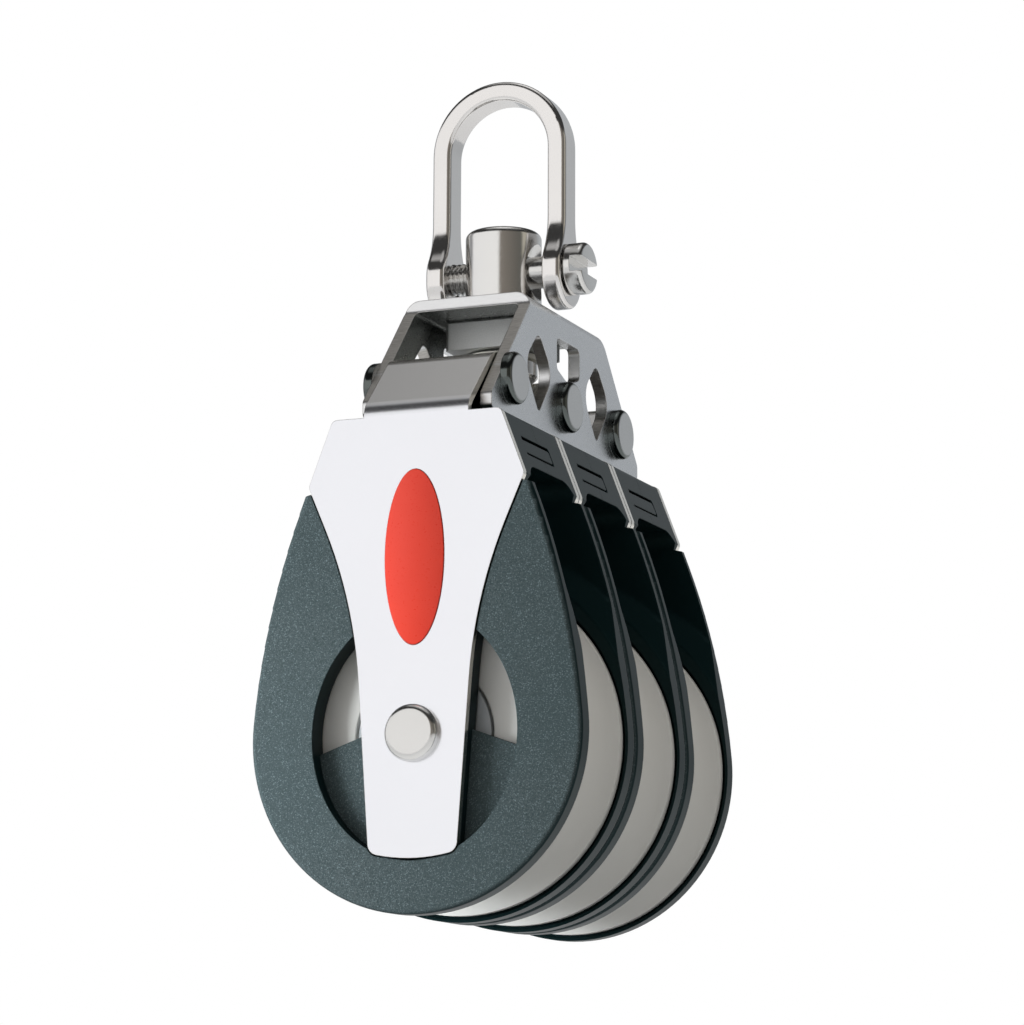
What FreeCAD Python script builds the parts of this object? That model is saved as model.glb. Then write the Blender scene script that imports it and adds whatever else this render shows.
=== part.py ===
import FreeCAD, Part
import math
import os

# Triple block: three sheaves side by side on one axle, each in its own bent strap and pair of
# moulded cheeks, hung by a U bracket and a swivel post from a flat-bar shackle.
# Millimetres. X runs across the cheeks, Y along the axle (the badge looks to -Y), Z up.
# Heights are written from the axle. The model's origin is the centre of the shackle's arch.

Vector = FreeCAD.Vector

# Sheaves
unit_names = ["front", "middle", "rear"]
sheave_radius = 27.0
sheave_root_depth = 5.8
sheave_web_half_width = 7.4
sheave_rim_overhang = 1.95
sheave_rim_lip = 1.75
sheave_rim_depth = 5.0
sheave_edge_rounding = 0.5
sheave_flare_rounding = 0.4
sheave_web_rounding = 0.8
sheave_bore_rounding = 0.3

# Rollers, races and their retaining rings
axle_radius = 3.0
race_wall = 5.35
roller_radius = 1.6
roller_spacing = 0.3
retainer_thickness = 1.1
retainer_inset = 0.1
running_clearance = 0.06
side_clearance = 0.4
seat_clearance = 0.05
face_gap = 0.3

# Straps
strap_thickness = 1.2
strap_gap = 0.3
strap_proud = 0.2
strap_tab_half_width = 9.0
strap_corner_height = 40.0
strap_corner_half_width = 18.5
strap_shoulder_rise = 10.6
strap_shoulder_half_width = 14.45
strap_waist_height = 21.2
strap_waist_half_width = 10.3
strap_waist_blend = 12.8
strap_tail_margin = 1.3
strap_tail_half_width = 7.45
strap_tail_crown = 1.6
strap_tail_rounding = 1.8
strap_corner_rounding = 1.2
strap_bend_radius = 2.4
strap_bend_rise = 0.1

# Cheek mouldings
cheek_thickness = 3.1
cheek_wall = 1.8
cheek_rim = 1.0
cheek_flank_start_deg = 5.0
cheek_ledge_drop = 1.4
cheek_ledge_rise = 0.3
cheek_ledge_reach = 0.9
cheek_edge_rounding = 0.7
strap_edge_gap = 0.25
pocket_depth = 1.2
pocket_clearance = 0.5
ridge_reach = 2.0
ridge_rise = 0.6
ridge_rounding = 0.6
ridge_slope_length = 3.6
ridge_foot_rounding = 1.5
window_side_margin = 4.6
window_end_margin = 2.3
window_rib = 1.2
web_thickness = 1.2
web_crown_height = 3.7
web_crown_slope_deg = 19.6
block_floor_rise = 1.8
block_floor_rounding = 4.0
block_top_drop = 0.1
finger_floor = 2.3
finger_height = 2.1
finger_reach = 4.2
finger_length = 1.05
finger_slot = 0.35
finger_upper_slot = 0.6
finger_root_gap = 1.6
finger_end_rounding = 0.6

# Axle heads and badge
axle_head_ledge = 1.5
axle_head_height = 1.7
axle_head_rounding = 1.1
badge_height = 27.8
badge_half_width = 5.0
badge_half_height = 13.9
badge_edge = 0.15
badge_crown = 0.65
badge_gap = 0.08

# Head bracket and its cross pins
head_pin_rise = 7.2
head_pin_radius = 3.2
head_pin_head_ledge = 1.1
head_pin_head_thickness = 1.8
head_pin_head_rounding = 0.9
bracket_thickness = 2.0
bracket_side_gap = 0.2
bracket_bend_radius = 0.8
bracket_shoulder_gap = 1.0
bracket_rise = 16.5
bracket_set_back = 1.25
bracket_top_half_length = 16.7
bracket_foot_overhang = 8.9
bracket_foot_height = 2.6
bracket_foot_rounding = 1.0
bracket_corner_rounding = 1.2
leaf_waist_rise = 4.2
leaf_upper_length = 6.2
leaf_lower_length = 7.4
leaf_half_width = 6.4
leaf_spacing = 26.1
leaf_top_rounding = 1.8
leaf_side_rounding = 4.0
leaf_bottom_rounding = 0.9
middle_hole_ceiling_gap = 3.3
middle_hole_side_length = 5.3
middle_hole_crown = 1.7
middle_hole_half_width = 5.1
middle_hole_rounding = 1.0
middle_hole_crown_rounding = 6.0

# Swivel: post, square bearing block, washer and nut
post_radius = 6.4
post_length = 14.0
post_top_rounding = 1.2
post_edge_chamfer = 0.4
post_sink_radius = 4.8
post_sink_depth = 1.7
shank_radius = 4.0
swivel_clearance = 0.08
bearing_half_width = 7.4
bearing_half_length = 7.6
bearing_corner_rounding = 0.8
bearing_edge_chamfer = 0.3
washer_radius = 6.2
washer_thickness = 0.8
nut_radius = 5.8
nut_thickness = 3.0
nut_chamfer = 0.4
nut_crest_gap = 1.05

# Shackle and its screw pin
shackle_pin_radius = 2.7
shackle_pin_clearance = 0.08
shackle_pin_tip = 0.4
shackle_pin_head_ledge = 1.65
shackle_pin_head_thickness = 3.1
shackle_pin_head_rounding = 0.8
slot_width = 2.55
slot_depth = 2.0
bow_reach = 21.2
bow_inner_radius = 8.8
bow_thickness = 3.3
bow_width = 5.5
bow_edge_rounding = 0.8
eye_radius = 5.4
eye_drop = 1.2
eye_gap = 0.4
eye_blend_radius = 12.0

# Along the axle, from the sheave outwards
rim_half_width = sheave_web_half_width + sheave_rim_overhang
groove_half_width = rim_half_width - sheave_rim_lip
pad_face = sheave_web_half_width + side_clearance
web_face = pad_face + web_thickness
pocket_floor = rim_half_width + side_clearance
cheek_inner = pocket_floor - pocket_depth
cheek_outer = cheek_inner + cheek_thickness
wall_face = cheek_outer - cheek_wall
ridge_face = cheek_inner - ridge_rise
strap_outer = cheek_outer + strap_proud
strap_inner = strap_outer - strap_thickness
recess_floor = strap_inner - seat_clearance
unit_pitch = 2 * strap_outer + strap_gap
axle_end = unit_pitch + strap_outer

# Round the axle
hole_radius = axle_radius + seat_clearance
race_radius = hole_radius + race_wall
roller_pitch_radius = race_radius + running_clearance + roller_radius
bore_radius = race_radius + 2 * (roller_radius + running_clearance)
roller_half_length = sheave_web_half_width - retainer_inset - retainer_thickness - face_gap
roller_count = int(2 * math.pi * roller_pitch_radius / (2 * roller_radius + roller_spacing))
retainer_radius = bore_radius - side_clearance
rim_inner_radius = sheave_radius - sheave_rim_depth
cheek_radius = sheave_radius + cheek_rim
pocket_radius = sheave_radius + pocket_clearance
ridge_radius = pocket_radius + ridge_reach
window_half_width = rim_inner_radius - window_side_margin
window_half_height = rim_inner_radius - window_end_margin
strap_tail_depth = window_half_height - strap_tail_margin
axle_head_radius = axle_radius + axle_head_ledge

# Heights, from the straps upwards
strap_shoulder_height = strap_corner_height + strap_shoulder_rise
block_floor_height = strap_corner_height + block_floor_rise
block_top = strap_shoulder_height - block_top_drop
finger_bottom = block_floor_height + finger_floor
finger_inner_half_width = strap_shoulder_half_width - finger_length
head_pin_height = strap_shoulder_height + head_pin_rise
head_pin_hole = head_pin_radius + seat_clearance
head_pin_head_radius = head_pin_radius + head_pin_head_ledge
strap_crest = head_pin_height + head_pin_hole + strap_thickness
bracket_inner = strap_tab_half_width + bracket_side_gap
bracket_outer = bracket_inner + bracket_thickness
bracket_bottom = strap_shoulder_height + bracket_shoulder_gap
bracket_top = head_pin_height + bracket_rise
bracket_ceiling = bracket_top - bracket_thickness
bracket_foot_half_length = unit_pitch + bracket_foot_overhang
leaf_waist = head_pin_height + leaf_waist_rise
middle_hole_top = bracket_ceiling - middle_hole_ceiling_gap
middle_hole_side = middle_hole_top - middle_hole_side_length
nut_bottom = strap_crest + nut_crest_gap
nut_top = nut_bottom + nut_thickness
washer_top = nut_top + washer_thickness
bearing_bottom = washer_top + face_gap
post_bottom = bracket_top + face_gap
shackle_pin_height = bracket_top + eye_gap + eye_radius + eye_drop
shackle_pin_head_radius = shackle_pin_radius + shackle_pin_head_ledge
pin_hole = shackle_pin_radius + shackle_pin_clearance
bow_outer_radius = bow_inner_radius + bow_thickness
bow_height = shackle_pin_height + bow_reach

# How far a cutter or an overlapping end reaches past what it meets
far = 100.0
overlap = 1.0

# Two lengths closer than this are the same
same_length = 1e-6


def on_plane(u, v, plane):
    if plane == "XZ":
        return Vector(u, 0, v)
    if plane == "YZ":
        return Vector(0, u, v)
    return Vector(u, v, 0)


def rounded_wire(corners, plane):
    """Closed outline through corners (u, v, radius), each rounded by a tangent arc."""
    starts = []
    middles = []
    ends = []
    count = len(corners)
    for index in range(count):
        here = on_plane(corners[index][0], corners[index][1], plane)
        before = on_plane(corners[index - 1][0], corners[index - 1][1], plane) - here
        after_corner = corners[(index + 1) % count]
        after = on_plane(after_corner[0], after_corner[1], plane) - here
        radius = corners[index][2]
        before.normalize()
        after.normalize()
        half_angle = before.getAngle(after) / 2
        reach = radius / math.tan(half_angle)
        bisector = before + after
        if radius > 0:
            bisector.normalize()
        centre = here + bisector * (radius / math.sin(half_angle))
        starts.append(here + before * reach)
        middles.append(centre - bisector * radius)
        ends.append(here + after * reach)
    edges = []
    for index in range(count):
        if corners[index][2] > 0:
            edges.append(Part.Arc(starts[index], middles[index], ends[index]).toShape())
        following = starts[(index + 1) % count]
        if (following - ends[index]).Length > same_length:
            edges.append(Part.LineSegment(ends[index], following).toShape())
    return Part.Wire(edges)


def both_sides(right_half):
    """Corners of a left-right symmetric outline, from those of its right half."""
    left_half = [(-u, v, radius) for u, v, radius in reversed(right_half)]
    return right_half + left_half


def slab(wire, start, end):
    """A wire in the XZ plane made solid between two places along Y."""
    face = Part.Face(wire)
    face.translate(Vector(0, start, 0))
    return face.extrude(Vector(0, end - start, 0))


def cross_slab(wire, half_width):
    """A wire in the YZ plane made solid across X, the same both ways."""
    face = Part.Face(wire)
    face.translate(Vector(-half_width, 0, 0))
    return face.extrude(Vector(2 * half_width, 0, 0))


def rod_y(radius, start, end):
    return Part.makeCylinder(radius, end - start, Vector(0, start, 0), Vector(0, 1, 0))


def rod_x(radius, start, end, y, z):
    return Part.makeCylinder(radius, end - start, Vector(start, y, z), Vector(1, 0, 0))


def rod_z(radius, bottom, top):
    return Part.makeCylinder(radius, top - bottom, Vector(0, 0, bottom), Vector(0, 0, 1))


def ellipse_slab(half_width, half_height, start, end, height):
    """An upright ellipse made solid between two places along Y."""
    curve = Part.Ellipse(Vector(0, 0, height + half_height), Vector(half_width, 0, height),
                         Vector(0, 0, height))
    return slab(Part.Wire([curve.toShape()]), start, end)


def edges_where(shape, test):
    return [edge for edge in shape.Edges if test(edge)]


def circle_edges(shape, radius, axis, place):
    """The full circular edges of one radius whose centre lies at one place on an axis."""
    def matches(edge):
        curve = edge.Curve
        if not isinstance(curve, Part.Circle):
            return False
        if abs(curve.Radius - radius) > same_length:
            return False
        return abs(curve.Center.dot(axis) - place) < same_length
    return edges_where(shape, matches)


# The two ends of a strap leg, its waist and its hexagonal shoulder

def half_corner(before, corner, after):
    """Half the angle between the two sides (u, v) that meet in a corner of an outline."""
    first = Vector(before[0] - corner[0], before[1] - corner[1], 0)
    second = Vector(after[0] - corner[0], after[1] - corner[1], 0)
    return first.getAngle(second) / 2


def strap_wire(growth=0.0):
    crown = (0.0, -strap_tail_depth - strap_tail_crown)
    tail = (strap_tail_half_width, -strap_tail_depth)
    waist = (strap_waist_half_width, strap_waist_height)
    corner = (strap_corner_half_width, strap_corner_height)
    tail_length = math.hypot(strap_tail_half_width, strap_tail_crown)
    crown_blend = tail_length - strap_tail_rounding / math.tan(half_corner(crown, tail, waist))
    crown_angle = math.atan2(strap_tail_half_width, strap_tail_crown)
    waist_radius = strap_waist_blend * math.tan(half_corner(tail, waist, corner))
    right_half = [
        (tail[0], tail[1], strap_tail_rounding),
        (waist[0], waist[1], waist_radius),
        (corner[0], corner[1], strap_corner_rounding),
        (strap_shoulder_half_width, strap_shoulder_height, strap_corner_rounding),
    ]
    foot = (crown[0], crown[1], crown_blend * math.tan(crown_angle))
    wire = rounded_wire([foot] + both_sides(right_half), "XZ")
    if growth:
        wire = wire.makeOffset2D(growth)
    return wire


def strap_arch():
    """The upper bend of a strap: from leg to leg over the cross pin, seen along X."""
    pin = Vector(0, 0, head_pin_height)
    wrap_inner = head_pin_hole
    wrap_outer = wrap_inner + strap_thickness
    bend_outer = strap_bend_radius + strap_thickness
    bend = Vector(0, strap_outer - bend_outer, strap_shoulder_height + strap_bend_rise)
    line = pin - bend
    to_pin = math.atan2(line.z, line.y)
    lean = to_pin - math.acos((bend_outer - wrap_outer) / line.Length)

    def at(centre, radius, angle):
        return centre + Vector(0, math.cos(angle), math.sin(angle)) * radius

    def flipped(point):
        return Vector(point.x, -point.y, point.z)

    def path(wrap, corner):
        foot = Vector(0, bend.y + corner, strap_shoulder_height - 2 * strap_thickness)
        leg_end = at(bend, corner, 0)
        turn_end = at(bend, corner, lean)
        wrap_start = at(pin, wrap, lean)
        crest = at(pin, wrap, math.pi / 2)
        return [
            Part.LineSegment(foot, leg_end).toShape(),
            Part.Arc(leg_end, at(bend, corner, lean / 2), turn_end).toShape(),
            Part.LineSegment(turn_end, wrap_start).toShape(),
            Part.Arc(wrap_start, crest, flipped(wrap_start)).toShape(),
            Part.LineSegment(flipped(wrap_start), flipped(turn_end)).toShape(),
            Part.Arc(flipped(turn_end), flipped(at(bend, corner, lean / 2)),
                     flipped(leg_end)).toShape(),
            Part.LineSegment(flipped(leg_end), flipped(foot)).toShape(),
        ], foot
    outer, outer_foot = path(wrap_outer, bend_outer)
    inner, inner_foot = path(wrap_inner, strap_bend_radius)
    closing = [
        Part.LineSegment(outer_foot, inner_foot).toShape(),
        Part.LineSegment(flipped(outer_foot), flipped(inner_foot)).toShape(),
    ]
    edges = Part.sortEdges(outer + inner + closing)[0]
    return cross_slab(Part.Wire(edges), strap_tab_half_width)


def make_strap(with_badge):
    wire = strap_wire()
    strap = strap_arch()
    strap = strap.fuse([slab(wire, strap_inner, strap_outer), slab(wire, -strap_outer, -strap_inner)])
    strap = strap.removeSplitter()
    strap = strap.cut(rod_y(hole_radius, -far, far))
    if with_badge:
        strap = strap.cut(ellipse_slab(badge_half_width + badge_gap, badge_half_height + badge_gap,
                                       -far, 0, badge_height))
    return strap


# Cheeks. A near cheek lies to -Y of its sheave and carries the fingers of the top block.

def flank_radius(ledge):
    """The radius of the side curve that leaves the round of the cheek and ends at its ledge."""
    start = math.radians(cheek_flank_start_deg)
    along = ledge.x * math.cos(start) + ledge.z * math.sin(start)
    rise = ledge.Length ** 2 + cheek_radius ** 2 - 2 * cheek_radius * along
    return rise / (2 * (cheek_radius - along))


def cheek_wire():
    """The whole cheek outline: round below, long flanks, a ledge, hexagonal shoulder above."""
    start = math.radians(cheek_flank_start_deg)
    ledge = Vector(strap_corner_half_width + cheek_ledge_reach, 0,
                   strap_corner_height - cheek_ledge_drop)
    radius = flank_radius(ledge)
    centre = Vector(math.cos(start), 0, math.sin(start)) * (cheek_radius - radius)
    end = math.asin((ledge.z - centre.z) / radius)

    def flank_point(angle, side=1):
        across = centre.x + radius * math.cos(angle)
        return Vector(side * across, 0, centre.z + radius * math.sin(angle))
    low = flank_point(start)
    slope = ((strap_corner_half_width - strap_waist_half_width)
             / (strap_corner_height - strap_waist_height))
    join_drop = cheek_ledge_drop - cheek_ledge_rise
    shoulder = rounded_wire(both_sides([
        (ledge.x, 0.0, 0.0),
        (ledge.x, ledge.z, 0.0),
        (strap_corner_half_width - slope * join_drop, ledge.z + cheek_ledge_rise, 0.0),
        (strap_corner_half_width, strap_corner_height, 0.0),
        (strap_shoulder_half_width, block_top, strap_corner_rounding),
    ]), "XZ")
    top_edges = edges_where(shoulder, lambda edge: edge.BoundBox.ZMin > low.z + overlap)
    lower_edges = [
        Part.Arc(flank_point(start, -1), Vector(0, 0, -cheek_radius), low).toShape(),
        Part.Arc(low, flank_point((start + end) / 2), ledge).toShape(),
        Part.Arc(flank_point(end, -1), flank_point((start + end) / 2, -1),
                 flank_point(start, -1)).toShape(),
    ]
    return Part.Wire(Part.sortEdges(lower_edges + top_edges)[0])


def cheek_solid(start, end):
    return slab(cheek_wire(), start, end)


def below_web_line():
    """The half of the cheek below the roof-shaped top edge of its lower web."""
    drop = far * math.tan(math.radians(web_crown_slope_deg))
    return slab(rounded_wire([
        (0.0, web_crown_height, 0.0),
        (far, web_crown_height - drop, 0.0),
        (far, -far, 0.0),
        (-far, -far, 0.0),
        (-far, web_crown_height - drop, 0.0),
    ], "XZ"), -far, far)


def sheave_room():
    """What the sheave and the rope need of a cheek: the pocket, the ridge round it, the swallow."""
    return turned_about_axle(rounded_wire([
        (0.0, 0.0, 0.0),
        (-pocket_floor, 0.0, 0.0),
        (-pocket_floor, pocket_radius, 0.0),
        (-cheek_inner, pocket_radius, 0.0),
        (-ridge_face, ridge_radius, ridge_rounding),
        (-wall_face, ridge_radius + ridge_slope_length, ridge_foot_rounding),
        (-wall_face, far, 0.0),
        (0.0, far, 0.0),
    ], "YZ"))


def block_half():
    """Half of the top block, from the cheek wall to the middle of the unit."""
    profile = rounded_wire([
        (0.0, block_floor_height, 0.0),
        (-wall_face, block_floor_height, block_floor_rounding),
        (-wall_face, block_floor_height - 2 * block_floor_rounding, 0.0),
        (-wall_face - seat_clearance, block_floor_height - 2 * block_floor_rounding, 0.0),
        (-wall_face - seat_clearance, far, 0.0),
        (0.0, far, 0.0),
    ], "YZ")
    return cross_slab(profile, far).common(cheek_solid(-cheek_outer, 0))


def make_cheek_blank():
    plate = cheek_solid(-cheek_outer, -ridge_face)

    def on_outer_rim(edge):
        box = edge.BoundBox
        flat = box.YMax < -cheek_outer + seat_clearance
        return flat and isinstance(edge.Curve, Part.Circle) and edge.Curve.Radius > sheave_radius
    plate = plate.makeFillet(cheek_edge_rounding, edges_where(plate, on_outer_rim))
    plate = plate.cut(sheave_room())
    outer_window = ellipse_slab(window_half_width + window_rib, window_half_height + window_rib,
                                -cheek_outer + strap_thickness, -pad_face, 0)
    plate = plate.fuse([outer_window, block_half()])
    spoke = slab(strap_wire(), -far, 0)
    opening = ellipse_slab(window_half_width, window_half_height, -far, 0, 0).cut(spoke)
    plate = plate.cut(opening.cut(below_web_line()))
    web_front = Part.makeBox(2 * far, far, 2 * far, Vector(-far, -far - web_face, -far))
    plate = plate.cut(opening.common(below_web_line()).common(web_front))
    plate = plate.cut(slab(strap_wire(strap_edge_gap), -far, -recess_floor))
    return plate.cut(rod_y(hole_radius, -far, far))


def finger_space(start, end, gap_below, gap_above, side):
    """The room of one snap finger, widened by its slots, on the side -1 or 1 of the block."""
    bottom = finger_bottom - gap_below
    top = finger_bottom + finger_height + gap_above
    inner = finger_inner_half_width - gap_below
    face = Part.Face(rounded_wire([
        (start, bottom, 0.0),
        (end, bottom, finger_end_rounding),
        (end, top, finger_end_rounding),
        (start, top, 0.0),
    ], "YZ"))
    face.translate(Vector(side * inner, 0, 0))
    return face.extrude(Vector(side * (far - inner), 0, 0))


def finger_slots(side):
    """What both halves of the block leave free round one finger."""
    return finger_space(-cheek_inner + finger_root_gap, finger_reach + finger_slot,
                        finger_slot, finger_upper_slot, side)


def make_near_cheek():
    cheek = make_cheek_blank()
    for side in (-1, 1):
        finger = finger_space(-cheek_inner, finger_reach, 0.0, 0.0, side)
        cheek = cheek.cut(finger_slots(side))
        cheek = cheek.fuse(finger.common(cheek_solid(-cheek_outer, far)))
    return cheek.removeSplitter()


def make_far_cheek():
    cheek = make_cheek_blank().mirror(Vector(0, 0, 0), Vector(0, 1, 0))
    for side in (-1, 1):
        cheek = cheek.cut(finger_slots(side))
    return cheek.removeSplitter()


# Sheave and bearing, turned about the axle

def turned_about_axle(wire):
    return Part.Face(wire).revolve(Vector(0, 0, 0), Vector(0, 1, 0), 360)


def make_sheave():
    depth = sheave_root_depth
    groove_radius = (groove_half_width ** 2 + depth ** 2) / (2 * depth)
    root = sheave_radius - depth
    flare = rim_inner_radius + sheave_rim_overhang
    right_half = [
        (sheave_web_half_width, bore_radius, sheave_bore_rounding),
        (sheave_web_half_width, rim_inner_radius, sheave_web_rounding),
        (rim_half_width, flare, sheave_flare_rounding),
        (rim_half_width, sheave_radius, sheave_edge_rounding),
    ]
    blank = turned_about_axle(rounded_wire(both_sides(right_half), "YZ"))
    ring = Part.makeTorus(root + groove_radius, groove_radius, Vector(0, 0, 0), Vector(0, 1, 0))
    return blank.cut(ring)


def make_inner_race():
    return rod_y(race_radius, -pad_face, pad_face).cut(rod_y(hole_radius, -far, far))


def make_retainers():
    inner = roller_half_length + face_gap
    rings = []
    for start in (-inner - retainer_thickness, inner):
        ring = rod_y(retainer_radius, start, start + retainer_thickness)
        rings.append(ring.cut(rod_y(race_radius + seat_clearance, -far, far)))
    return Part.makeCompound(rings)


def make_rollers():
    rollers = []
    for index in range(roller_count):
        angle = 2 * math.pi * index / roller_count
        roller = rod_y(roller_radius, -roller_half_length, roller_half_length)
        roller.translate(Vector(math.cos(angle), 0, math.sin(angle)) * roller_pitch_radius)
        rollers.append(roller)
    return Part.makeCompound(rollers)


def button_head(head, radius, axis, face, rounding):
    """A plain disc with the rim of its outer face rounded."""
    return head.makeFillet(rounding, circle_edges(head, radius, axis, face))


def make_axle():
    tip = axle_end + axle_head_height
    axle = rod_y(axle_radius, -axle_end, axle_end)
    for start, face in ((-tip, -tip), (axle_end, tip)):
        head = rod_y(axle_head_radius, start, start + axle_head_height)
        axle = axle.fuse(button_head(head, axle_head_radius, Vector(0, 1, 0), face,
                                     axle_head_rounding))
    return axle.removeSplitter()


def make_badge():
    """An oval plate in the strap's oval hole, its face crowned both ways."""
    top_face = -axle_end - badge_edge - badge_crown
    base = ellipse_slab(badge_half_width, badge_half_height, top_face,
                        -axle_end + strap_thickness, badge_height)
    crown_radius = (badge_half_width ** 2 + badge_crown ** 2) / (2 * badge_crown)
    long_radius = (badge_half_height ** 2 + badge_crown ** 2) / (2 * badge_crown)
    reach = badge_half_height + overlap
    sink = long_radius - math.sqrt(long_radius ** 2 - reach ** 2)
    top = Vector(0, -crown_radius + sink, reach)
    bottom = Vector(0, -crown_radius + sink, -reach)
    crest = Vector(0, -crown_radius, 0)
    outline = Part.Wire([
        Part.Arc(top, crest, bottom).toShape(),
        Part.LineSegment(bottom, Vector(0, 0, -reach)).toShape(),
        Part.LineSegment(Vector(0, 0, -reach), Vector(0, 0, reach)).toShape(),
        Part.LineSegment(Vector(0, 0, reach), top).toShape(),
    ])
    barrel = Part.Face(outline).revolve(Vector(0, 0, 0), Vector(0, 0, 1), 360)
    barrel.translate(Vector(0, crown_radius + top_face, badge_height))
    return base.common(barrel)


# Head bracket, cross pins and swivel

def bracket_mask():
    """The side view of the bracket, about its own middle."""
    return cross_slab(rounded_wire(both_sides([
        (bracket_foot_half_length, bracket_bottom, bracket_foot_rounding),
        (bracket_foot_half_length, bracket_bottom + bracket_foot_height, bracket_corner_rounding),
        (bracket_top_half_length, bracket_ceiling, bracket_corner_rounding),
        (bracket_top_half_length, far, 0.0),
    ]), "YZ"), far)


def leaf_hole(place):
    """One of the pointed oval holes of the side plates, between two cross pins."""
    return cross_slab(rounded_wire([
        (place, leaf_waist + leaf_upper_length, leaf_top_rounding),
        (place - leaf_half_width, leaf_waist, leaf_side_rounding),
        (place, leaf_waist - leaf_lower_length, leaf_bottom_rounding),
        (place + leaf_half_width, leaf_waist, leaf_side_rounding),
    ], "YZ"), far)


def middle_hole():
    return cross_slab(rounded_wire([
        (-middle_hole_half_width, middle_hole_top, middle_hole_rounding),
        (-middle_hole_half_width, middle_hole_side, middle_hole_rounding),
        (0.0, middle_hole_side - middle_hole_crown, middle_hole_crown_rounding),
        (middle_hole_half_width, middle_hole_side, middle_hole_rounding),
        (middle_hole_half_width, middle_hole_top, middle_hole_rounding),
    ], "YZ"), far)


def make_bracket():
    outer_bend = bracket_bend_radius + bracket_thickness
    section = rounded_wire([
        (-bracket_outer, bracket_bottom, 0.0),
        (-bracket_outer, bracket_top, outer_bend),
        (bracket_outer, bracket_top, outer_bend),
        (bracket_outer, bracket_bottom, 0.0),
        (bracket_inner, bracket_bottom, 0.0),
        (bracket_inner, bracket_ceiling, bracket_bend_radius),
        (-bracket_inner, bracket_ceiling, bracket_bend_radius),
        (-bracket_inner, bracket_bottom, 0.0),
    ], "XZ")
    mask = bracket_mask()
    holes = [leaf_hole(-leaf_spacing / 2), leaf_hole(leaf_spacing / 2), middle_hole()]
    for form in [mask] + holes:
        form.translate(Vector(0, bracket_set_back, 0))
    bracket = slab(section, -far, far).common(mask)
    for place in (-unit_pitch, 0.0, unit_pitch):
        holes.append(rod_x(head_pin_hole, -far, far, place, head_pin_height))
    holes.append(rod_z(shank_radius + swivel_clearance, bracket_bottom, far))
    for hole in holes:
        bracket = bracket.cut(hole)
    return bracket


def make_head_pin():
    tip = bracket_outer + head_pin_head_thickness
    pin = rod_x(head_pin_radius, -bracket_outer, bracket_outer, 0, head_pin_height)
    for start, face in ((-tip, -tip), (bracket_outer, tip)):
        head = rod_x(head_pin_head_radius, start, start + head_pin_head_thickness, 0, head_pin_height)
        pin = pin.fuse(button_head(head, head_pin_head_radius, Vector(1, 0, 0), face,
                                   head_pin_head_rounding))
    return pin.removeSplitter()


def make_swivel_post():
    top = post_bottom + post_length
    barrel = rod_z(post_radius, post_bottom, top)
    barrel = barrel.makeFillet(post_top_rounding, circle_edges(barrel, post_radius, Vector(0, 0, 1), top))
    barrel = barrel.makeChamfer(
        post_edge_chamfer, circle_edges(barrel, post_radius, Vector(0, 0, 1), post_bottom))
    post = barrel.fuse(rod_z(shank_radius, nut_bottom, post_bottom + overlap)).removeSplitter()
    post = post.cut(rod_x(pin_hole, -far, far, 0, shackle_pin_height))
    for side in (-1, 1):
        sink = Part.makeCone(pin_hole, post_sink_radius, post_sink_depth,
                             Vector(side * (post_radius - post_sink_depth), 0, shackle_pin_height),
                             Vector(side, 0, 0))
        post = post.cut(sink)
    return post


def make_bearing():
    """The square block under the top plate that the post turns in."""
    block = Part.makeBox(2 * bearing_half_width, 2 * bearing_half_length,
                         bracket_ceiling - bearing_bottom,
                         Vector(-bearing_half_width, -bearing_half_length, bearing_bottom))
    upright = edges_where(block, lambda edge: edge.BoundBox.ZLength > bearing_corner_rounding)
    block = block.makeFillet(bearing_corner_rounding, upright)
    rims = edges_where(block, lambda edge: edge.BoundBox.ZMin > bracket_ceiling - seat_clearance)
    block = block.makeChamfer(bearing_edge_chamfer, rims)
    return block.cut(rod_z(shank_radius + swivel_clearance, bearing_bottom - overlap, far))


def ring_on_shank(radius, bottom, top):
    bore = rod_z(shank_radius + seat_clearance, bottom - overlap, top + overlap)
    return rod_z(radius, bottom, top).cut(bore)


def make_thrust_washer():
    return ring_on_shank(washer_radius, nut_top, washer_top)


def make_swivel_nut():
    nut = ring_on_shank(nut_radius, nut_bottom, nut_top)
    rims = circle_edges(nut, nut_radius, Vector(0, 0, 1), nut_bottom)
    rims += circle_edges(nut, nut_radius, Vector(0, 0, 1), nut_top)
    return nut.makeChamfer(nut_chamfer, rims)


# Shackle

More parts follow.
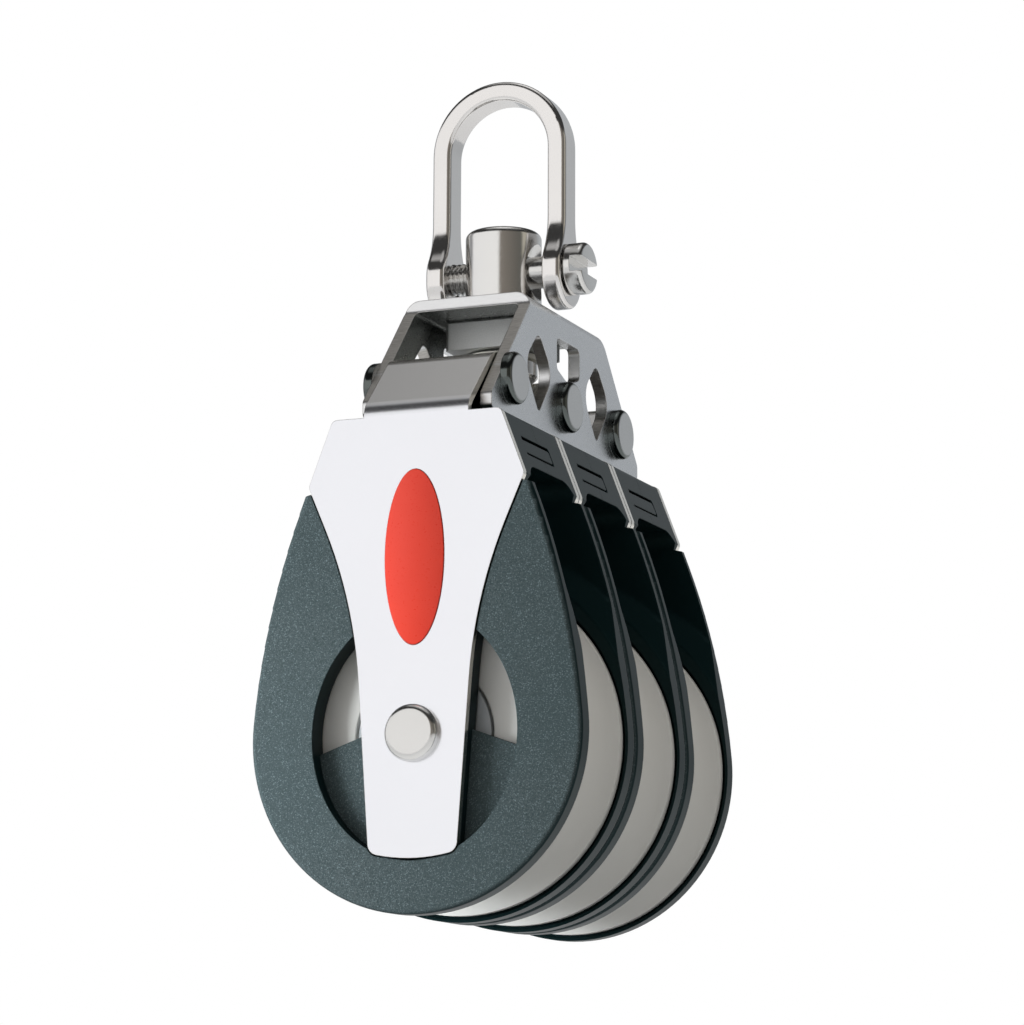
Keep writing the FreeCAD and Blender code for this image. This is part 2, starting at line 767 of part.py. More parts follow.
def shackle_leg_wire():
    """The side view of a leg: a flat bar that flares into its oval eye."""
    half = bow_width / 2
    blend = eye_blend_radius
    rise = math.sqrt((eye_radius + blend) ** 2 - (half + blend) ** 2)
    flare_top = shackle_pin_height + rise
    blend_centre = Vector(0, half + blend, flare_top)
    eye_centre = Vector(0, 0, shackle_pin_height)
    towards_eye = (eye_centre - blend_centre).normalize()
    meet = blend_centre + towards_eye * blend
    bow_middle = (towards_eye + Vector(0, -1, 0)).normalize()
    on_blend = blend_centre + bow_middle * blend
    side_start = (meet - eye_centre).normalize()
    eye_middle = (side_start + Vector(0, 1, 0)).normalize()
    on_eye = eye_centre + eye_middle * eye_radius
    side = Vector(0, eye_radius, shackle_pin_height)
    low_side = Vector(0, eye_radius, shackle_pin_height - eye_drop)
    bottom = Vector(0, 0, shackle_pin_height - eye_drop - eye_radius)

    def flipped(point):
        return Vector(point.x, -point.y, point.z)
    start = Vector(0, half, flare_top)
    top = Vector(0, half, bow_height)
    return Part.Wire([
        Part.LineSegment(top, start).toShape(),
        Part.Arc(start, on_blend, meet).toShape(),
        Part.Arc(meet, on_eye, side).toShape(),
        Part.LineSegment(side, low_side).toShape(),
        Part.Arc(low_side, bottom, flipped(low_side)).toShape(),
        Part.LineSegment(flipped(low_side), flipped(side)).toShape(),
        Part.Arc(flipped(side), flipped(on_eye), flipped(meet)).toShape(),
        Part.Arc(flipped(meet), flipped(on_blend), flipped(start)).toShape(),
        Part.LineSegment(flipped(start), flipped(top)).toShape(),
        Part.LineSegment(flipped(top), top).toShape(),
    ])


def make_shackle_bow():
    leg = cross_slab(shackle_leg_wire(), bow_thickness / 2)
    place = bow_inner_radius + bow_thickness / 2
    legs = []
    for side in (-1, 1):
        copy = leg.copy()
        copy.translate(Vector(side * place, 0, 0))
        legs.append(copy)
    half = bow_width / 2
    arch = rod_y(bow_outer_radius, -half, half).cut(rod_y(bow_inner_radius, -far, far))
    arch = arch.common(Part.makeBox(2 * far, 2 * far, far, Vector(-far, -far, 0)))
    arch.translate(Vector(0, 0, bow_height))
    bow = arch.fuse(legs).removeSplitter()

    def on_outline(edge):
        return edge.BoundBox.ZLength > same_length
    bow = bow.makeFillet(bow_edge_rounding, edges_where(bow, on_outline))
    return bow.cut(rod_x(pin_hole, -far, far, 0, shackle_pin_height))


def make_shackle_pin():
    head_start = bow_outer_radius + face_gap
    head_end = head_start + shackle_pin_head_thickness
    tip = -bow_outer_radius - shackle_pin_tip
    shank = rod_x(shackle_pin_radius, tip, head_start + overlap, 0, shackle_pin_height)
    shank = shank.makeChamfer(
        shackle_pin_tip, circle_edges(shank, shackle_pin_radius, Vector(1, 0, 0), tip))
    head = rod_x(shackle_pin_head_radius, head_start, head_end, 0, shackle_pin_height)
    rims = circle_edges(head, shackle_pin_head_radius, Vector(1, 0, 0), head_end)
    head = head.makeFillet(shackle_pin_head_rounding, rims)
    slot = Part.makeBox(far, 2 * far, slot_width)
    slot.translate(Vector(head_end - slot_depth, -far, shackle_pin_height - slot_width / 2))
    return shank.fuse(head).removeSplitter().cut(slot)


def only_solids(shape):
    """The shape as its one solid, or as a compound of its several solids."""
    if len(shape.Solids) == 1:
        return shape.Solids[0]
    return Part.makeCompound(shape.Solids)


def write(name, shape, place=0.0):
    """Moves a piece along the axle, sets it below the origin and writes its file."""
    shape = only_solids(shape.copy())
    shape.translate(Vector(0, place, -bow_height))
    shape.exportStep("parts/" + name + ".step")


def main():
    os.makedirs("parts", exist_ok=True)
    write("shackle_bow", make_shackle_bow())
    write("shackle_pin", make_shackle_pin())
    write("swivel_post", make_swivel_post())
    write("swivel_nut", make_swivel_nut())
    write("thrust_washer", make_thrust_washer())
    write("swivel_bearing", make_bearing())
    write("head_bracket", make_bracket())
    write("axle", make_axle())
    write("badge", make_badge())
    near_cheek = make_near_cheek()
    far_cheek = make_far_cheek()
    sheave = make_sheave()
    race = make_inner_race()
    retainers = make_retainers()
    rollers = make_rollers()
    head_pin = make_head_pin()
    for index, unit in enumerate(unit_names):
        place = (index - 1) * unit_pitch
        write("head_pin_" + unit, head_pin, place)
        write("strap_" + unit, make_strap(index == 0), place)
        write("cheek_" + unit + "_near", near_cheek, place)
        write("cheek_" + unit + "_far", far_cheek, place)
        write("sheave_" + unit, sheave, place)
        write("inner_race_" + unit, race, place)
        write("roller_retainers_" + unit, retainers, place)
        write("roller_set_" + unit, rollers, place)


main()
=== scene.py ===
import math

import bmesh
import bpy
from mathutils import Matrix, Vector


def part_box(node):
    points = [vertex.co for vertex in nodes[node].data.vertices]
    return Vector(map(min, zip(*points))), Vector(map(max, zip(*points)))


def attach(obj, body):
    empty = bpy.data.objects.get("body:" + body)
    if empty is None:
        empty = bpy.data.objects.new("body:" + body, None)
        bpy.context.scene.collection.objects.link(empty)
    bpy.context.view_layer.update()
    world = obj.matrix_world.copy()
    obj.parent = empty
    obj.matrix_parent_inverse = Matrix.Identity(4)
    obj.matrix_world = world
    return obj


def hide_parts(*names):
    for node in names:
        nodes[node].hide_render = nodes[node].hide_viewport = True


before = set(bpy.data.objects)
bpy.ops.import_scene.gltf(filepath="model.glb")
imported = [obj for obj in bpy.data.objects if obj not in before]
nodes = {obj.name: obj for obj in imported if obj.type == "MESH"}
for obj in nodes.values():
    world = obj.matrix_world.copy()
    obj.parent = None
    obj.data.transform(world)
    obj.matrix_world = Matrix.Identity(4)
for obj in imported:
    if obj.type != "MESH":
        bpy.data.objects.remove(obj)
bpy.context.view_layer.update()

# Triple block: finishes, screw thread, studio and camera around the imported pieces.
# Metres throughout, in the row frame: the origin is the centre of the shackle's arch.

MM = 0.001
units = ("front", "middle", "rear")

# The photograph's camera: it stands a little below the block and looks up at it
camera_place = Vector((0.22548, -0.54267, -0.16944))
camera_turn_deg = 22.41
camera_rise_deg = 10.40
camera_roll_deg = 0.23
camera_lens = 126.28
sensor_side = 36.0

# From one sheave's middle to the next, along the axle
unit_spacing = 24.0 * MM

# Heights of the axle and the shackle pin below the origin
axle_drop = 102.5 * MM
pin_drop = 21.2 * MM

# Just outside the bracket's inner faces: half way across, and below the origin
bracket_inner_half_width = 9.4 * MM
bracket_ceiling_drop = 29.5 * MM

# How far a finish blends round a sharp edge
mask_softening = 0.35 * MM

# What the lamps point at
block_middle = (0, 0, -80 * MM)
near_cheek_left = (-20 * MM, -36 * MM, -105 * MM)

# The floor: half its length, and its depth under the origin, in metres
floor_half = 12.0
floor_depth = 0.62


# Shader nodes

def new_material(name):
    """A new material, its node tree and its shader."""
    material = bpy.data.materials.new(name)
    material.use_nodes = True
    return material, material.node_tree, material.node_tree.nodes["Principled BSDF"]


def add(tree, kind, inputs=None, **settings):
    """A new node with its settings and its inputs, which are values or other nodes' sockets."""
    node = tree.nodes.new(kind)
    for key, value in settings.items():
        setattr(node, key, value)
    for key, value in (inputs or {}).items():
        if isinstance(value, bpy.types.NodeSocket):
            tree.links.new(value, node.inputs[key])
        else:
            node.inputs[key].default_value = value
    return node


def math_node(tree, operation, *values):
    return add(tree, "ShaderNodeMath", dict(enumerate(values)), operation=operation).outputs[0]


def ramp(tree, factor, stops):
    """A straight colour ramp over a factor, from (place, colour or level) stops."""
    node = add(tree, "ShaderNodeValToRGB", {"Fac": factor})
    band = node.color_ramp
    while len(band.elements) < len(stops):
        band.elements.new(0.5)
    for element, (place, colour) in zip(band.elements, stops):
        element.position = place
        if isinstance(colour, (int, float)):
            colour = (colour, colour, colour)
        element.color = (*colour, 1.0)
    return node.outputs["Color"]


def mix_colour(tree, factor, first, second):
    """From the first colour, where the factor is 0, to the second, where it is 1."""
    node = add(tree, "ShaderNodeMix", data_type="RGBA")
    pairs = ((node.inputs[0], factor), (node.inputs[6], first), (node.inputs[7], second))
    for socket, value in pairs:
        if isinstance(value, bpy.types.NodeSocket):
            tree.links.new(value, socket)
        elif isinstance(value, tuple):
            socket.default_value = (*value, 1.0)
        else:
            socket.default_value = value
    return node.outputs[2]


def object_place(tree):
    """The place on the piece, from the origin at rest. It moves and turns with the piece."""
    return add(tree, "ShaderNodeTexCoord").outputs["Object"]


def scaled(tree, vector, scale):
    """A place stretched along each axis, so that a noise of it turns to lines."""
    return add(tree, "ShaderNodeMapping", {"Vector": vector, "Scale": scale}).outputs["Vector"]


def noise(tree, vector, scale, detail=2.0, roughness=0.5):
    """Smooth noise from 0 to 1, with its scale in cells to the metre."""
    node = add(tree, "ShaderNodeTexNoise",
               {"Vector": vector, "Scale": scale, "Detail": detail, "Roughness": roughness})
    return node.outputs["Fac"]


def bump(tree, height, strength, distance, normal=None):
    """The normal tilted by a height, over another normal where one is given."""
    inputs = {"Height": height, "Strength": strength, "Distance": distance}
    if normal is not None:
        inputs["Normal"] = normal
    return add(tree, "ShaderNodeBump", inputs).outputs["Normal"]


def rounded_normal(tree, radius):
    """The surface normal with every sharp edge softened by a small radius."""
    return add(tree, "ShaderNodeBevel", {"Radius": radius}, samples=6).outputs["Normal"]


def object_normal(tree, axis):
    """One part of the object's own surface normal, softened where edges are sharp."""
    turned = add(tree, "ShaderNodeVectorTransform", {"Vector": rounded_normal(tree, mask_softening)},
                 vector_type="NORMAL", convert_from="WORLD", convert_to="OBJECT").outputs[0]
    return add(tree, "ShaderNodeSeparateXYZ", {"Vector": turned}).outputs[axis]


def facing(tree, axis):
    """How far the surface faces along one axis, either way: 1 full on, 0 edge on."""
    return math_node(tree, "ABSOLUTE", object_normal(tree, axis))


def facing_outward(tree, place):
    """How far a cheek faces away from its own sheave: 1 full on, 0 edge on or inward."""
    along = add(tree, "ShaderNodeSeparateXYZ", {"Vector": place}).outputs["Y"]
    count = math_node(tree, "DIVIDE", along, unit_spacing)
    side = math_node(tree, "SIGN", math_node(tree, "SUBTRACT", count, math_node(tree, "ROUND", count)))
    return math_node(tree, "MAXIMUM", math_node(tree, "MULTIPLY", object_normal(tree, 1), side), 0.0)


# Finishes

def cheek_plastic():
    """Dark moulded nylon: spark-textured faces with fine light grain; sides and inner faces near-black,
    partly for their smooth finish and partly as painted shade.
    """
    material, tree, shader = new_material("cheek_plastic")
    place = object_place(tree)
    grain = noise(tree, place, 3400.0, 3.0, 0.65)
    fine = noise(tree, place, 5200.0, 1.0)
    specks = ramp(tree, fine, [(0.0, 0.0), (0.57, 0.0), (0.75, 1.0)])
    cloud = noise(tree, place, 60.0, 2.0)
    face = ramp(tree, facing_outward(tree, place), [(0.0, 0.0), (0.45, 0.0), (0.92, 1.0)])
    mottle = ramp(tree, grain, [(0.3, 0.0), (0.7, 1.0)])
    ground = mix_colour(tree, mottle, (0.027, 0.036, 0.038), (0.098, 0.118, 0.122))
    ground = mix_colour(tree, cloud, ground, (0.049, 0.067, 0.071))
    speckled = mix_colour(tree, specks, ground, (0.145, 0.185, 0.195))
    # Sides and inner faces take a near-black colour: partly their smooth finish, partly painted shade.
    colour = mix_colour(tree, face, (0.004, 0.012, 0.013), speckled)
    tree.links.new(colour, shader.inputs["Base Color"])
    shader.inputs["Specular IOR Level"].default_value = 0.17
    shader.inputs["Specular Tint"].default_value = (0.50, 0.92, 0.95, 1.0)
    rough = ramp(tree, face, [(0.0, 0.34), (1.0, 0.55)])
    tree.links.new(rough, shader.inputs["Roughness"])
    height = math_node(tree, "MULTIPLY", grain, face)
    normal = bump(tree, height, 0.9, 0.10 * MM, rounded_normal(tree, 0.25 * MM))
    tree.links.new(normal, shader.inputs["Normal"])
    return material


def strap_steel():
    """Bright stainless sheet, fine satin faces and plainer sheared edges, whose pale cream colour is
    partly a painted highlight.
    """
    material, tree, shader = new_material("strap_steel")
    place = object_place(tree)
    shader.inputs["Metallic"].default_value = 1.0
    grain = noise(tree, place, 2600.0, 3.0, 0.6)
    cloud = noise(tree, place, 45.0, 3.0)
    face = ramp(tree, facing(tree, 1), [(0.0, 0.0), (0.5, 0.0), (0.9, 1.0)])
    sheen = mix_colour(tree, cloud, (0.91, 0.915, 0.95), (0.945, 0.95, 0.985))
    # The sheared edges' pale cream colour is partly a painted highlight.
    colour = mix_colour(tree, face, (0.90, 0.87, 0.80), sheen)
    tree.links.new(colour, shader.inputs["Base Color"])
    tree.links.new(ramp(tree, grain, [(0.3, 0.22), (0.7, 0.27)]), shader.inputs["Roughness"])
    normal = bump(tree, grain, 0.06, 0.02 * MM, rounded_normal(tree, 0.16 * MM))
    tree.links.new(normal, shader.inputs["Normal"])
    return material


def inside_bracket(tree, place):
    """1 on the inner faces of the bracket, which are painted darker as shade, and 0 on the rest."""
    parts = add(tree, "ShaderNodeSeparateXYZ", {"Vector": place})
    across = math_node(tree, "ABSOLUTE", parts.outputs["X"])
    between = math_node(tree, "LESS_THAN", across, bracket_inner_half_width)
    under = math_node(tree, "LESS_THAN", parts.outputs["Z"], -bracket_ceiling_drop)
    return math_node(tree, "MULTIPLY", between, under)


def bracket_steel():
    """Thicker stainless plate: satin faces, cut edges scored across their thickness; square-on cut edges
    painted bright as a highlight, slanted cut edges and the inner faces painted darker as shade.
    """
    material, tree, shader = new_material("bracket_steel")
    place = object_place(tree)
    shader.inputs["Metallic"].default_value = 1.0
    grain = noise(tree, place, 2400.0, 3.0, 0.6)
    cloud = noise(tree, place, 80.0, 3.0)
    scores = noise(tree, scaled(tree, place, (0.12, 1.0, 1.0)), 5200.0, 3.0, 0.7)
    forward = facing(tree, 1)
    edge = ramp(tree, forward, [(0.0, 0.0), (0.4, 0.0), (0.7, 1.0)])
    square_on = ramp(tree, forward, [(0.0, 0.0), (0.86, 0.0), (0.97, 1.0)])
    plate = mix_colour(tree, cloud, (0.70, 0.715, 0.73), (0.80, 0.81, 0.82))
    # The inner faces are painted darker as shade.
    plate = mix_colour(tree, inside_bracket(tree, place), plate, (0.27, 0.28, 0.27))
    # Slanted cut edges are painted darker and browner as shade, striped by the scores; square-on cut
    # edges are painted brighter as a highlight.
    slanted_cut_painted_dark = mix_colour(tree, scores, (0.22, 0.20, 0.18), (0.80, 0.78, 0.74))
    straight = mix_colour(tree, scores, (0.82, 0.82, 0.82), (0.93, 0.93, 0.93))
    cut = mix_colour(tree, square_on, slanted_cut_painted_dark, straight)
    tree.links.new(mix_colour(tree, edge, plate, cut), shader.inputs["Base Color"])
    rough = mix_colour(tree, edge, ramp(tree, grain, [(0.3, 0.24), (0.7, 0.36)]), (0.34, 0.34, 0.34))
    tree.links.new(rough, shader.inputs["Roughness"])
    height = mix_colour(tree, edge, grain, scores)
    normal = bump(tree, height, 0.30, 0.03 * MM, rounded_normal(tree, 0.18 * MM))
    tree.links.new(normal, shader.inputs["Normal"])
    return material


def blasted_steel():
    """Bead-blasted stainless of the square bearing block: an even, sandy grey."""
    material, tree, shader = new_material("blasted_steel")
    place = object_place(tree)
    shader.inputs["Metallic"].default_value = 1.0
    grain = noise(tree, place, 4200.0, 2.0, 0.6)
    colour = mix_colour(tree, grain, (0.50, 0.51, 0.505), (0.74, 0.75, 0.745))
    tree.links.new(colour, shader.inputs["Base Color"])
    tree.links.new(ramp(tree, grain, [(0.3, 0.48), (0.7, 0.60)]), shader.inputs["Roughness"])
    normal = bump(tree, grain, 0.5, 0.05 * MM, rounded_normal(tree, 0.2 * MM))
    tree.links.new(normal, shader.inputs["Normal"])
    return material


def polished_steel(name, warm, cool, rough_low, rough_high, turned=False, rim=None):
    """Polished stainless, a little wavy; turned about Z, or with a rim round X painted darker as a dark
    reflection, where asked.
    """
    material, tree, shader = new_material(name)
    place = object_place(tree)
    shader.inputs["Metallic"].default_value = 1.0
    cloud = noise(tree, place, 90.0, 3.0)
    grain = noise(tree, place, 2200.0, 2.0)
    colour = mix_colour(tree, cloud, warm, cool)
    # The rounded rim round the flat face is painted darker as a dark reflection.
    if rim:
        flat = ramp(tree, facing(tree, 0), [(0.0, 0.0), (0.93, 0.0), (0.99, 1.0)])
        colour = mix_colour(tree, flat, rim, colour)
    tree.links.new(colour, shader.inputs["Base Color"])
    tree.links.new(ramp(tree, grain, [(0.3, rough_low), (0.7, rough_high)]),
                   shader.inputs["Roughness"])
    waves = noise(tree, place, 260.0, 1.0)
    normal = bump(tree, waves, 0.25, 0.10 * MM, rounded_normal(tree, 0.22 * MM))
    if turned:
        lines = noise(tree, scaled(tree, place, (0.03, 0.03, 1.0)), 7000.0, 2.0, 0.7)
        normal = bump(tree, lines, 0.25, 0.02 * MM, normal)
    tree.links.new(normal, shader.inputs["Normal"])
    return material


def axle_distance(tree, place):
    """Distance from the axle line, in metres."""
    parts = add(tree, "ShaderNodeSeparateXYZ", {"Vector": place})
    height = math_node(tree, "ADD", parts.outputs["Z"], axle_drop)
    across = math_node(tree, "POWER", parts.outputs["X"], 2.0)
    up = math_node(tree, "POWER", height, 2.0)
    return math_node(tree, "SQRT", math_node(tree, "ADD", across, up))


def sheave_plastic():
    """Off-white acetal: warm cream, smooth and satin, with faint turning rings."""
    material, tree, shader = new_material("sheave_plastic")
    place = object_place(tree)
    cloud = noise(tree, place, 70.0, 3.0)
    grain = noise(tree, place, 2600.0, 2.0)
    radius = math_node(tree, "MULTIPLY", axle_distance(tree, place), 2600.0)
    rings = add(tree, "ShaderNodeTexNoise", {"W": radius, "Scale": 1.0, "Detail": 2.0},
                noise_dimensions="1D").outputs["Fac"]
    colour = mix_colour(tree, cloud, (0.72, 0.715, 0.685), (0.78, 0.775, 0.745))
    tree.links.new(colour, shader.inputs["Base Color"])
    tree.links.new(ramp(tree, grain, [(0.2, 0.36), (0.8, 0.46)]), shader.inputs["Roughness"])
    normal = bump(tree, rings, 0.10, 0.03 * MM, rounded_normal(tree, 0.2 * MM))
    normal = bump(tree, grain, 0.10, 0.02 * MM, normal)
    tree.links.new(normal, shader.inputs["Normal"])
    return material


def bearing_plastic(name, light, dark):
    """Pale bearing plastic, clouded between a light and a dark shade."""
    material, tree, shader = new_material(name)
    place = object_place(tree)
    cloud = noise(tree, place, 120.0, 3.0)
    grain = noise(tree, place, 2600.0, 2.0)
    tree.links.new(mix_colour(tree, cloud, dark, light), shader.inputs["Base Color"])
    tree.links.new(ramp(tree, grain, [(0.2, 0.34), (0.8, 0.44)]), shader.inputs["Roughness"])
    normal = bump(tree, grain, 0.08, 0.02 * MM, rounded_normal(tree, 0.15 * MM))
    tree.links.new(normal, shader.inputs["Normal"])
    return material


def badge_red():
    """Domed orange-red badge, satin, with a fine grain."""
    material, tree, shader = new_material("badge_red")
    place = object_place(tree)
    cloud = noise(tree, place, 140.0, 3.0)
    grain = noise(tree, place, 3000.0, 3.0, 0.6)
    colour = mix_colour(tree, cloud, (0.62, 0.024, 0.007), (0.68, 0.034, 0.010))
    tree.links.new(colour, shader.inputs["Base Color"])
    tree.links.new(ramp(tree, grain, [(0.3, 0.26), (0.7, 0.36)]), shader.inputs["Roughness"])
    normal = bump(tree, grain, 0.15, 0.03 * MM, rounded_normal(tree, 0.12 * MM))
    tree.links.new(normal, shader.inputs["Normal"])
    return material


def dress(material, slot_name, *names):
    """Gives CAD nodes their finish. The slot name that the finish stands for is not used."""
    for name in names:
        node = nodes[name]
        node.data.materials.clear()
        node.data.materials.append(material)


def of_each_unit(*stems):
    """The names of nodes that each unit has one of."""
    return [stem.format(unit) for unit in units for stem in stems]


def dress_nodes():
    """Dresses every CAD node, and returns the pins' steel for the screw pin."""
    shackle = polished_steel("shackle_steel", (0.80, 0.775, 0.755), (0.86, 0.84, 0.82), 0.10, 0.17)
    turned = polished_steel("turned_steel", (0.74, 0.73, 0.71), (0.82, 0.81, 0.79), 0.12, 0.20,
                            turned=True)
    pin_steel = polished_steel("pin_steel", (0.70, 0.69, 0.67), (0.80, 0.79, 0.77), 0.14, 0.22)
    # Head pins: their rims are painted dark as a dark reflection.
    head_pin = polished_steel("head_pin_steel", (0.56, 0.56, 0.55), (0.64, 0.64, 0.63), 0.10, 0.16,
                              rim=(0.13, 0.145, 0.14))
    dress(shackle, "shackle_steel", "shackle_bow")
    dress(turned, "shackle_steel", "swivel_post")
    dress(turned, "bracket_steel", "swivel_nut")
    dress(bracket_steel(), "bracket_steel", "head_bracket")
    dress(blasted_steel(), "bracket_steel", "swivel_bearing")
    dress(strap_steel(), "strap_steel", *of_each_unit("strap_{}"))
    dress(pin_steel, "strap_steel", "axle")
    dress(head_pin, "strap_steel", *of_each_unit("head_pin_{}"))
    dress(cheek_plastic(), "cheek_plastic", *of_each_unit("cheek_{}_near", "cheek_{}_far"))
    dress(sheave_plastic(), "sheave_plastic", *of_each_unit("sheave_{}"))
    dress(bearing_plastic("race_plastic", (0.60, 0.63, 0.65), (0.52, 0.55, 0.57)), "race_plastic",
          *of_each_unit("inner_race_{}", "roller_retainers_{}"))
    dress(bearing_plastic("bearing_plastic", (0.70, 0.68, 0.60), (0.60, 0.58, 0.52)),
          "bearing_plastic", "thrust_washer", *of_each_unit("roller_set_{}"))
    dress(badge_red(), "badge_red", "badge")
    return pin_steel


# The screw pin with its thread: its shank, thread and slotted head
shank_radius = 2.70 * MM
tip_chamfer = 0.4 * MM
thread_pitch = 0.80 * MM
thread_depth = 0.42 * MM
thread_end = -5.2 * MM
thread_runout = 0.1 * MM
thread_flank_slope = 1.25
thread_crest_share = 0.125
head_thickness = 3.1 * MM
head_edge_rounding = 0.8 * MM
slot_width = 2.55 * MM
slot_depth = 2.0 * MM
slot_tool_length = 20 * MM

# How finely the screw pin is cut into faces
steps_around = 72
thread_steps_per_pitch = 10
head_edge_steps = 6
crease_angle_deg = 35.0


def pin_sizes():
    """The screw pin's sizes, read from its solid."""
    low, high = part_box("shackle_pin")
    return {
        "tip": low.x,
        "end": high.x,
        "head_radius": (high.y - low.y) / 2,
    }


def ring(shape, x, radius_at):
    """A ring of vertices about the pin's line, with its radius given for each angle."""
    vertices = []
    for index in range(steps_around):
        angle = 2 * math.pi * index / steps_around
        radius = radius_at(angle)
        place = (x, radius * math.cos(angle), radius * math.sin(angle) - pin_drop)
        vertices.append(shape.verts.new(place))
    return vertices


def bridge(shape, first, second):
    """Quads from one ring to the next."""
    for index in range(steps_around):
        following = (index + 1) % steps_around
        shape.faces.new((first[index], first[following], second[following], second[index]))


def threaded_pin(pin_steel):
    """The screw pin as one turned piece: chamfered tip, thread, plain shank and slotted head."""
    sizes = pin_sizes()
    head_start = sizes["end"] - head_thickness
    shape = bmesh.new()
    rings = []
    step = thread_pitch / thread_steps_per_pitch
    count = int(round((thread_end - sizes["tip"]) / step))
    for index in range(count + 1):
        x = sizes["tip"] + (thread_end - sizes["tip"]) * index / count
        from_tip = min(1.0, (x - sizes["tip"]) / tip_chamfer)
        to_end = min(1.0, (thread_end - x) / thread_pitch)

        def radius_at(angle, x=x, from_tip=from_tip, to_end=to_end):
            phase = (x / thread_pitch + angle / (2 * math.pi)) % 1.0
            flank = thread_flank_slope * abs(2 * phase - 1) - thread_crest_share
            tooth = max(0.0, min(1.0, flank))
            ridge = shank_radius - thread_depth * tooth * max(0.0, to_end)
            return min(ridge, shank_radius - tip_chamfer * (1 - from_tip))
        rings.append(ring(shape, x, radius_at))
    profile = [(thread_end + thread_runout, shank_radius), (head_start, shank_radius),
               (head_start, sizes["head_radius"])]
    for index in range(head_edge_steps + 1):
        angle = math.pi / 2 * index / head_edge_steps
        x = sizes["end"] - head_edge_rounding + head_edge_rounding * math.sin(angle)
        radius = sizes["head_radius"] - head_edge_rounding + head_edge_rounding * math.cos(angle)
        profile.append((x, radius))
    for x, radius in profile:
        rings.append(ring(shape, x, lambda angle, radius=radius: radius))
    for first, second in zip(rings, rings[1:]):
        bridge(shape, first, second)
    shape.faces.new(reversed(rings[0]))
    shape.faces.new(rings[-1])
    bmesh.ops.recalc_face_normals(shape, faces=shape.faces)
    mesh = bpy.data.meshes.new("screw_pin")
    shape.to_mesh(mesh)
    shape.free()
    piece = bpy.data.objects.new("screw_pin", mesh)
    bpy.context.scene.collection.objects.link(piece)
    cut_slot(piece, sizes["end"])
    piece.data.materials.append(pin_steel)
    smooth(piece)
    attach(piece, "screw_pin")
    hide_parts("shackle_pin")


def cut_slot(piece, end):
    """Cuts the driver slot across the head."""
    shape = bmesh.new()
    bmesh.ops.create_cube(shape, size=1.0)
    bmesh.ops.scale(shape, vec=(2 * slot_depth, slot_tool_length, slot_width), verts=shape.verts)
    bmesh.ops.translate(shape, vec=(end, 0, -pin_drop), verts=shape.verts)
    mesh = bpy.data.meshes.new("slot_tool")
    shape.to_mesh(mesh)
    shape.free()
    tool = bpy.data.objects.new("slot_tool", mesh)
    bpy.context.scene.collection.objects.link(tool)
    cut = piece.modifiers.new("slot", "BOOLEAN")
    cut.operation = "DIFFERENCE"
    cut.solver = "EXACT"
    cut.object = tool
    apply_modifiers(piece)
    bpy.data.objects.remove(tool)


def apply_modifiers(piece):
    """Replaces the piece's mesh by what its modifiers make of it."""
    view = bpy.context.evaluated_depsgraph_get()
    view.update()
    made = bpy.data.meshes.new_from_object(piece.evaluated_get(view))
    old = piece.data
    piece.modifiers.clear()
    piece.data = made
    bpy.data.meshes.remove(old)


def smooth(piece):
    """Smooth shading, with edges above the crease angle kept sharp."""
    piece.data.polygons.foreach_set("use_smooth", [True] * len(piece.data.polygons))
    piece.data.set_sharp_from_angle(angle=math.radians(crease_angle_deg))


# Studio

def seen_straight(tree):
    """1 for what the camera sees, past the object or through it, and 0 for all other rays."""
    path = add(tree, "ShaderNodeLightPath")
    return math_node(tree, "MAXIMUM", path.outputs["Is Camera Ray"], path.outputs["Is Transmission Ray"])


def studio_world():
    """White to the camera. For light and reflections, a pale studio with darker sides."""
    world = bpy.data.worlds.new("studio")
    bpy.context.scene.world = world
    world.use_nodes = True
    tree = world.node_tree
    tree.nodes.clear()
    direction = add(tree, "ShaderNodeTexCoord").outputs["Generated"]
    parts = add(tree, "ShaderNodeSeparateXYZ", {"Vector": direction})
    bearing = math_node(tree, "ARCTAN2", parts.outputs["Y"], parts.outputs["X"])
    share = math_node(tree, "MULTIPLY_ADD", bearing, 1 / (2 * math.pi), 0.5)

    def stop(degrees, level):
        return (degrees / 360 + 0.5, level)
    level = ramp(tree, share, [
        stop(-180, (0.30, 0.30, 0.31)),
        stop(-172, (0.94, 0.94, 0.95)),
        stop(-84, (0.99, 0.985, 0.98)),
        stop(-78, (0.24, 0.215, 0.19)),
        stop(-30, (0.15, 0.14, 0.125)),
        stop(-12, (0.12, 0.12, 0.11)),
        stop(-6, (0.50, 0.47, 0.40)),
        stop(14, (0.44, 0.41, 0.35)),
        stop(20, (0.10, 0.10, 0.10)),
        stop(48, (0.32, 0.335, 0.35)),
        stop(66, (0.46, 0.48, 0.50)),
        stop(110, (0.48, 0.50, 0.52)),
        stop(180, (0.30, 0.30, 0.31)),
    ])
    height = math_node(tree, "MULTIPLY_ADD", parts.outputs["Z"], 0.5, 0.5)
    above = ramp(tree, height, [(0.0, 0.0), (0.735, 0.0), (0.76, 1.0), (1.0, 1.0)])
    overhead = ramp(tree, height, [
        (0.0, 0.04), (0.925, 0.04), (0.95, 0.45), (0.985, 0.40), (0.992, 1.0), (1.0, 1.0)])
    seen = mix_colour(tree, above, level, overhead)
    light = add(tree, "ShaderNodeBackground", {"Color": seen, "Strength": 1.0}).outputs[0]
    white = add(tree, "ShaderNodeBackground", {"Color": (1, 1, 1, 1), "Strength": 1.0}).outputs[0]
    mixed = add(tree, "ShaderNodeMixShader", {0: seen_straight(tree), 1: light, 2: white}).outputs[0]
    add(tree, "ShaderNodeOutputWorld", {"Surface": mixed})


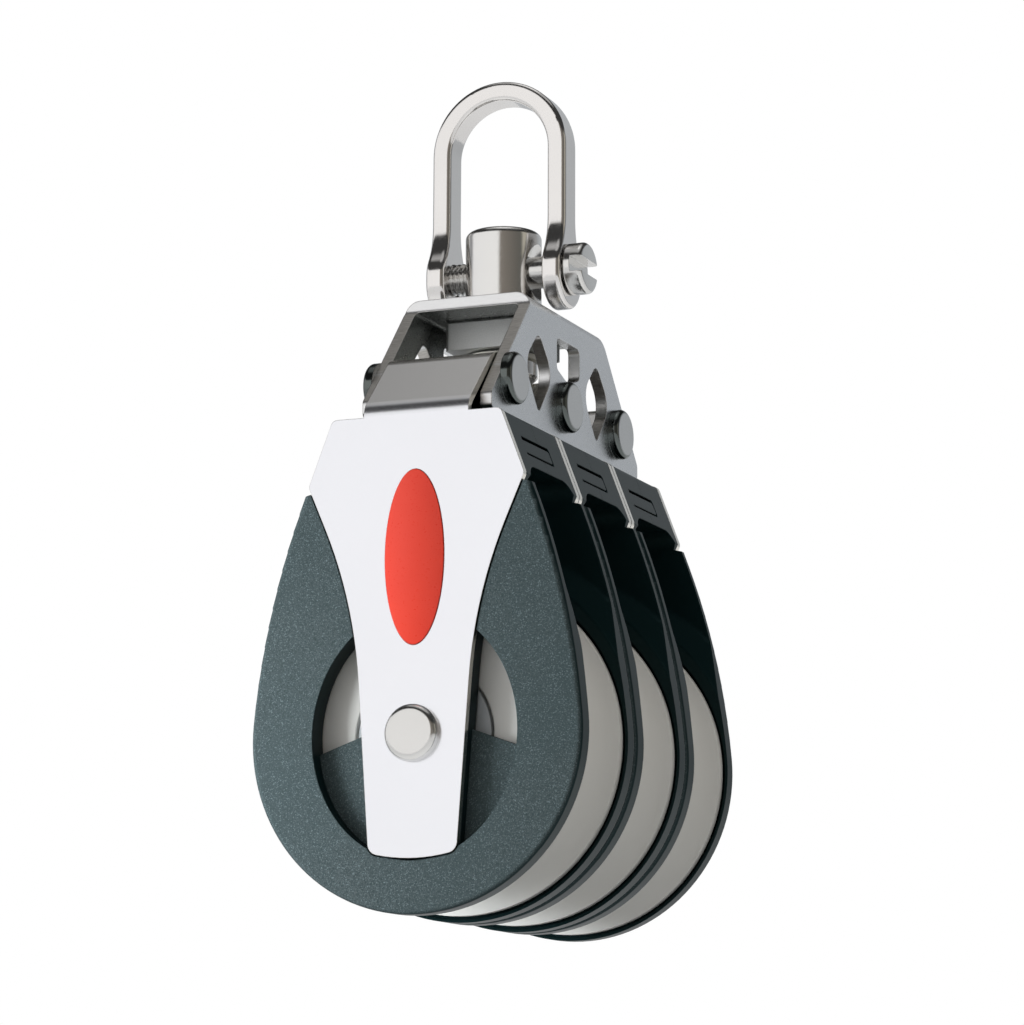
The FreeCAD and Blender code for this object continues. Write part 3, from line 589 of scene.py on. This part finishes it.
def area_light(name, place, target, size, power, colour):
    """A square soft lamp that lights the block but doesn't show in its steel."""
    data = bpy.data.lights.new(name, "AREA")
    data.shape = "RECTANGLE"
    data.size = size
    data.size_y = size
    data.energy = power
    data.color = colour
    lamp = bpy.data.objects.new(name, data)
    lamp.location = place
    lamp.rotation_euler = (Vector(target) - Vector(place)).to_track_quat("-Z", "Y").to_euler()
    lamp.visible_glossy = False
    bpy.context.scene.collection.objects.link(lamp)


def pale_floor():
    """A plain pale floor, some way under the hanging block; paler still where it is looked at."""
    corners = ((-1, -1), (1, -1), (1, 1), (-1, 1))
    mesh = bpy.data.meshes.new("floor")
    mesh.from_pydata([(x * floor_half, y * floor_half, -floor_depth) for x, y in corners],
                     [], [(0, 1, 2, 3)])
    floor = bpy.data.objects.new("floor", mesh)
    bpy.context.scene.collection.objects.link(floor)
    material, tree, shader = new_material("floor_paper")
    soft = noise(tree, object_place(tree), 3.0)
    tree.links.new(mix_colour(tree, soft, (0.84, 0.85, 0.86), (0.87, 0.88, 0.885)),
                   shader.inputs["Base Color"])
    shader.inputs["Roughness"].default_value = 0.8
    paler = add(tree, "ShaderNodeEmission", {"Color": (0.50, 0.505, 0.51, 1), "Strength": 1.0})
    lifted = add(tree, "ShaderNodeAddShader", {0: shader.outputs[0], 1: paler.outputs[0]})
    path = add(tree, "ShaderNodeLightPath")
    looked_at = math_node(tree, "MAXIMUM", seen_straight(tree), path.outputs["Is Glossy Ray"])
    mixed = add(tree, "ShaderNodeMixShader",
                {0: looked_at, 1: shader.outputs[0], 2: lifted.outputs[0]})
    tree.links.new(mixed.outputs[0], tree.nodes["Material Output"].inputs["Surface"])
    mesh.materials.append(material)


def camera():
    """The photograph's camera. It looks along +Y, tilted up, and is turned about Z."""
    data = bpy.data.cameras.new("photograph")
    data.lens = camera_lens
    data.sensor_width = sensor_side
    data.clip_start = 0.01
    view = bpy.data.objects.new("photograph", data)
    turn = Matrix.Rotation(math.radians(camera_turn_deg), 4, "Z")
    rise = Matrix.Rotation(math.radians(90 + camera_rise_deg), 4, "X")
    roll = Matrix.Rotation(math.radians(camera_roll_deg), 4, "Z")
    view.matrix_world = Matrix.Translation(camera_place) @ turn @ rise @ roll
    bpy.context.scene.collection.objects.link(view)
    bpy.context.scene.camera = view


def studio():
    """World, lamps, floor and camera."""
    bpy.context.scene.view_settings.view_transform = "Standard"
    studio_world()
    area_light("key", (-0.62, -0.66, 0.12), block_middle, 0.5, 1.6, (1.0, 0.99, 0.97))
    area_light("low_left", (-0.12, -0.105, -0.12), near_cheek_left, 0.06, 0.32, (0.92, 0.97, 1.0))
    area_light("right_fill", (0.62, -0.22, 0.42), block_middle, 0.4, 1.8, (1.0, 0.98, 0.95))
    pale_floor()
    camera()


threaded_pin(dress_nodes())
studio()
